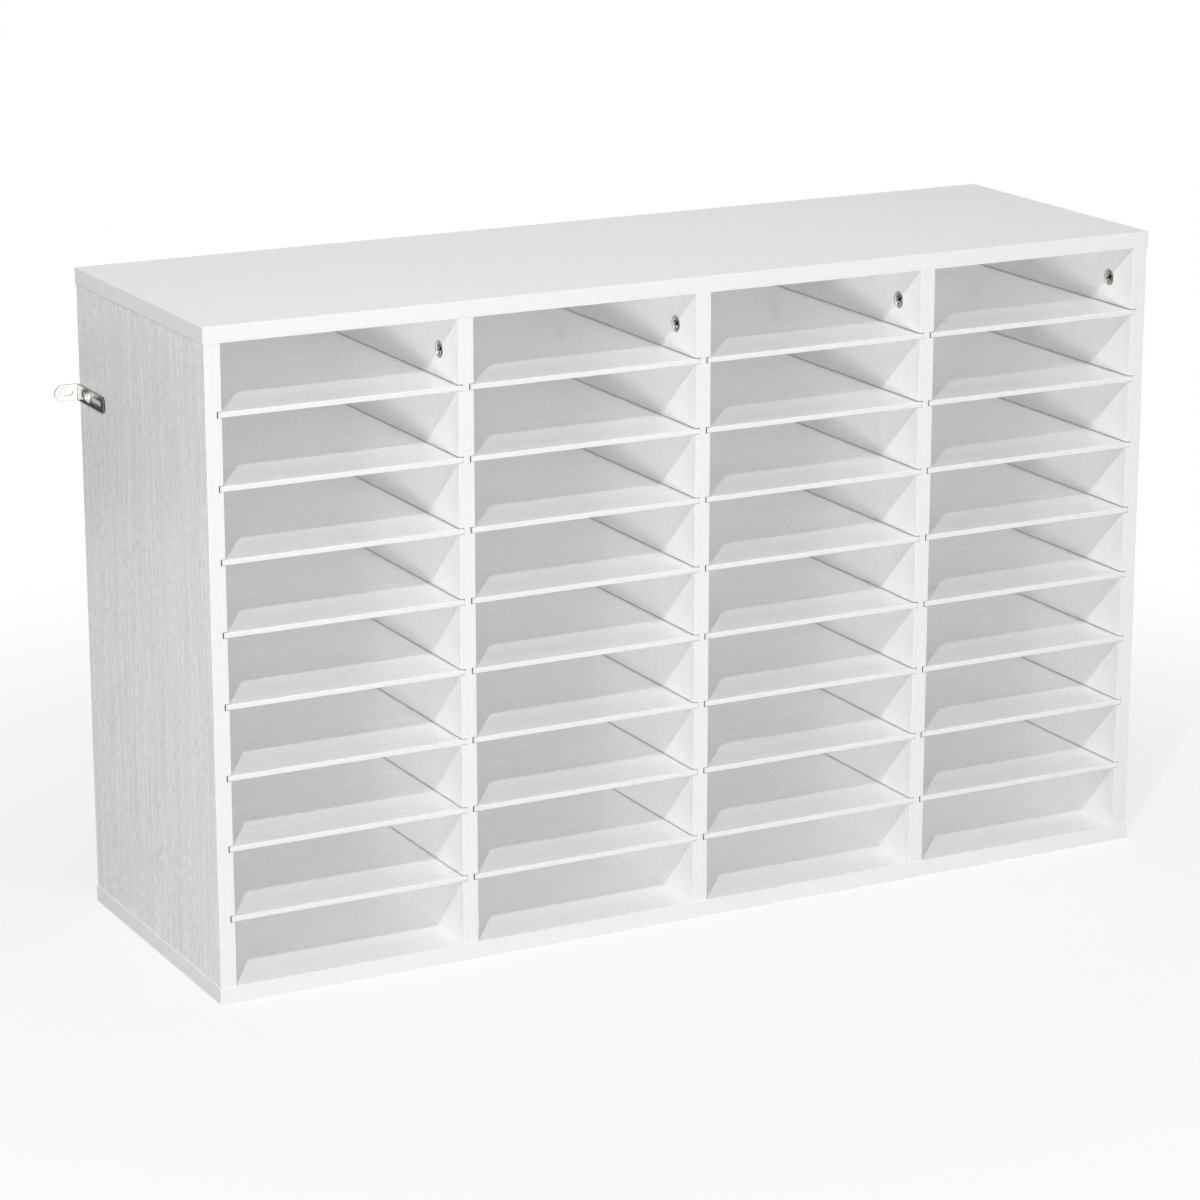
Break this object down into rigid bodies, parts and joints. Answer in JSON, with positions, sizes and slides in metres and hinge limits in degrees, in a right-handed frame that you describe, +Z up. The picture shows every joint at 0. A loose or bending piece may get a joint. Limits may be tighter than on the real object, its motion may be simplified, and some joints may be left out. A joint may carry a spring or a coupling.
{
  "type": "pigeonhole mail sorter",
  "caption": "Low open cabinet of pigeonholes in columns, divided by thin shelves that slide in grooves in the uprights, for sorting letters and forms.",
  "frame": {"origin": "middle of the bottom board's underside", "axes": "+X to the right seen from the open front, +Y to the back, +Z up"},
  "size_m": [1.0042, 0.306, 0.604],
  "materials": {
    "laminate": "white wood-grain laminate",
    "shelf_laminate": "white wood-grain foil",
    "back_foil": "white foil on thin board",
    "nickel": "nickel plate",
    "zinced_steel": "bright zinc plate"
  },
  "bodies": {
    "carcass": {"top_board": "laminate", "bottom_board": "laminate", "left_side": "laminate", "divider_1": "laminate", "divider_2": "laminate", "divider_3": "laminate", "right_side": "laminate", "back_panel": "back_foil", "cam_lock_left_side_front": "nickel", "cam_lock_left_side_rear": "nickel", "cam_lock_divider_1_front": "nickel", "cam_lock_divider_1_rear": "nickel", "cam_lock_divider_2_front": "nickel", "cam_lock_divider_2_rear": "nickel", "cam_lock_divider_3_front": "nickel", "cam_lock_divider_3_rear": "nickel", "cam_lock_right_side_front": "nickel", "cam_lock_right_side_rear": "nickel", "bracket_screw_left": "zinced_steel", "bracket_screw_right": "zinced_steel"},
    "bracket_left": {"wall_bracket_left": "zinced_steel"},
    "bracket_right": {"wall_bracket_right": "zinced_steel"},
    "shelf_c1_r1": {"shelf_c1_r1": "shelf_laminate"},
    "shelf_c1_r2": {"shelf_c1_r2": "shelf_laminate"},
    "shelf_c1_r3": {"shelf_c1_r3": "shelf_laminate"},
    "shelf_c1_r4": {"shelf_c1_r4": "shelf_laminate"},
    "shelf_c1_r5": {"shelf_c1_r5": "shelf_laminate"},
    "shelf_c1_r6": {"shelf_c1_r6": "shelf_laminate"},
    "shelf_c1_r7": {"shelf_c1_r7": "shelf_laminate"},
    "shelf_c1_r8": {"shelf_c1_r8": "shelf_laminate"},
    "shelf_c2_r1": {"shelf_c2_r1": "shelf_laminate"},
    "shelf_c2_r2": {"shelf_c2_r2": "shelf_laminate"},
    "shelf_c2_r3": {"shelf_c2_r3": "shelf_laminate"},
    "shelf_c2_r4": {"shelf_c2_r4": "shelf_laminate"},
    "shelf_c2_r5": {"shelf_c2_r5": "shelf_laminate"},
    "shelf_c2_r6": {"shelf_c2_r6": "shelf_laminate"},
    "shelf_c2_r7": {"shelf_c2_r7": "shelf_laminate"},
    "shelf_c2_r8": {"shelf_c2_r8": "shelf_laminate"},
    "shelf_c3_r1": {"shelf_c3_r1": "shelf_laminate"},
    "shelf_c3_r2": {"shelf_c3_r2": "shelf_laminate"},
    "shelf_c3_r3": {"shelf_c3_r3": "shelf_laminate"},
    "shelf_c3_r4": {"shelf_c3_r4": "shelf_laminate"},
    "shelf_c3_r5": {"shelf_c3_r5": "shelf_laminate"},
    "shelf_c3_r6": {"shelf_c3_r6": "shelf_laminate"},
    "shelf_c3_r7": {"shelf_c3_r7": "shelf_laminate"},
    "shelf_c3_r8": {"shelf_c3_r8": "shelf_laminate"},
    "shelf_c4_r1": {"shelf_c4_r1": "shelf_laminate"},
    "shelf_c4_r2": {"shelf_c4_r2": "shelf_laminate"},
    "shelf_c4_r3": {"shelf_c4_r3": "shelf_laminate"},
    "shelf_c4_r4": {"shelf_c4_r4": "shelf_laminate"},
    "shelf_c4_r5": {"shelf_c4_r5": "shelf_laminate"},
    "shelf_c4_r6": {"shelf_c4_r6": "shelf_laminate"},
    "shelf_c4_r7": {"shelf_c4_r7": "shelf_laminate"},
    "shelf_c4_r8": {"shelf_c4_r8": "shelf_laminate"}
  },
  "joints": [
    {"name": "bracket_left_slide", "type": "slide", "parent": "carcass", "child": "bracket_left", "axis": [0, 1, 0], "range_m": [-0.0155, 0.0275]},
    {"name": "bracket_right_slide", "type": "slide", "parent": "carcass", "child": "bracket_right", "axis": [0, 1, 0], "range_m": [-0.0155, 0.0275]},
    {"name": "shelf_c1_r1_slide", "type": "slide", "parent": "carcass", "child": "shelf_c1_r1", "axis": [0, -1, 0], "range_m": [0, 0.2353]},
    {"name": "shelf_c1_r2_slide", "type": "slide", "parent": "carcass", "child": "shelf_c1_r2", "axis": [0, -1, 0], "range_m": [0, 0.2353]},
    {"name": "shelf_c1_r3_slide", "type": "slide", "parent": "carcass", "child": "shelf_c1_r3", "axis": [0, -1, 0], "range_m": [0, 0.2353]},
    {"name": "shelf_c1_r4_slide", "type": "slide", "parent": "carcass", "child": "shelf_c1_r4", "axis": [0, -1, 0], "range_m": [0, 0.2353]},
    {"name": "shelf_c1_r5_slide", "type": "slide", "parent": "carcass", "child": "shelf_c1_r5", "axis": [0, -1, 0], "range_m": [0, 0.2353]},
    {"name": "shelf_c1_r6_slide", "type": "slide", "parent": "carcass", "child": "shelf_c1_r6", "axis": [0, -1, 0], "range_m": [0, 0.2353]},
    {"name": "shelf_c1_r7_slide", "type": "slide", "parent": "carcass", "child": "shelf_c1_r7", "axis": [0, -1, 0], "range_m": [0, 0.2353]},
    {"name": "shelf_c1_r8_slide", "type": "slide", "parent": "carcass", "child": "shelf_c1_r8", "axis": [0, -1, 0], "range_m": [0, 0.2353]},
    {"name": "shelf_c2_r1_slide", "type": "slide", "parent": "carcass", "child": "shelf_c2_r1", "axis": [0, -1, 0], "range_m": [0, 0.2353]},
    {"name": "shelf_c2_r2_slide", "type": "slide", "parent": "carcass", "child": "shelf_c2_r2", "axis": [0, -1, 0], "range_m": [0, 0.2353]},
    {"name": "shelf_c2_r3_slide", "type": "slide", "parent": "carcass", "child": "shelf_c2_r3", "axis": [0, -1, 0], "range_m": [0, 0.2353]},
    {"name": "shelf_c2_r4_slide", "type": "slide", "parent": "carcass", "child": "shelf_c2_r4", "axis": [0, -1, 0], "range_m": [0, 0.2353]},
    {"name": "shelf_c2_r5_slide", "type": "slide", "parent": "carcass", "child": "shelf_c2_r5", "axis": [0, -1, 0], "range_m": [0, 0.2353]},
    {"name": "shelf_c2_r6_slide", "type": "slide", "parent": "carcass", "child": "shelf_c2_r6", "axis": [0, -1, 0], "range_m": [0, 0.2353]},
    {"name": "shelf_c2_r7_slide", "type": "slide", "parent": "carcass", "child": "shelf_c2_r7", "axis": [0, -1, 0], "range_m": [0, 0.2353]},
    {"name": "shelf_c2_r8_slide", "type": "slide", "parent": "carcass", "child": "shelf_c2_r8", "axis": [0, -1, 0], "range_m": [0, 0.2353]},
    {"name": "shelf_c3_r1_slide", "type": "slide", "parent": "carcass", "child": "shelf_c3_r1", "axis": [0, -1, 0], "range_m": [0, 0.2353]},
    {"name": "shelf_c3_r2_slide", "type": "slide", "parent": "carcass", "child": "shelf_c3_r2", "axis": [0, -1, 0], "range_m": [0, 0.2353]},
    {"name": "shelf_c3_r3_slide", "type": "slide", "parent": "carcass", "child": "shelf_c3_r3", "axis": [0, -1, 0], "range_m": [0, 0.2353]},
    {"name": "shelf_c3_r4_slide", "type": "slide", "parent": "carcass", "child": "shelf_c3_r4", "axis": [0, -1, 0], "range_m": [0, 0.2353]},
    {"name": "shelf_c3_r5_slide", "type": "slide", "parent": "carcass", "child": "shelf_c3_r5", "axis": [0, -1, 0], "range_m": [0, 0.2353]},
    {"name": "shelf_c3_r6_slide", "type": "slide", "parent": "carcass", "child": "shelf_c3_r6", "axis": [0, -1, 0], "range_m": [0, 0.2353]},
    {"name": "shelf_c3_r7_slide", "type": "slide", "parent": "carcass", "child": "shelf_c3_r7", "axis": [0, -1, 0], "range_m": [0, 0.2353]},
    {"name": "shelf_c3_r8_slide", "type": "slide", "parent": "carcass", "child": "shelf_c3_r8", "axis": [0, -1, 0], "range_m": [0, 0.2353]},
    {"name": "shelf_c4_r1_slide", "type": "slide", "parent": "carcass", "child": "shelf_c4_r1", "axis": [0, -1, 0], "range_m": [0, 0.2353]},
    {"name": "shelf_c4_r2_slide", "type": "slide", "parent": "carcass", "child": "shelf_c4_r2", "axis": [0, -1, 0], "range_m": [0, 0.2353]},
    {"name": "shelf_c4_r3_slide", "type": "slide", "parent": "carcass", "child": "shelf_c4_r3", "axis": [0, -1, 0], "range_m": [0, 0.2353]},
    {"name": "shelf_c4_r4_slide", "type": "slide", "parent": "carcass", "child": "shelf_c4_r4", "axis": [0, -1, 0], "range_m": [0, 0.2353]},
    {"name": "shelf_c4_r5_slide", "type": "slide", "parent": "carcass", "child": "shelf_c4_r5", "axis": [0, -1, 0], "range_m": [0, 0.2353]},
    {"name": "shelf_c4_r6_slide", "type": "slide", "parent": "carcass", "child": "shelf_c4_r6", "axis": [0, -1, 0], "range_m": [0, 0.2353]},
    {"name": "shelf_c4_r7_slide", "type": "slide", "parent": "carcass", "child": "shelf_c4_r7", "axis": [0, -1, 0], "range_m": [0, 0.2353]},
    {"name": "shelf_c4_r8_slide", "type": "slide", "parent": "carcass", "child": "shelf_c4_r8", "axis": [0, -1, 0], "range_m": [0, 0.2353]}
  ]
}
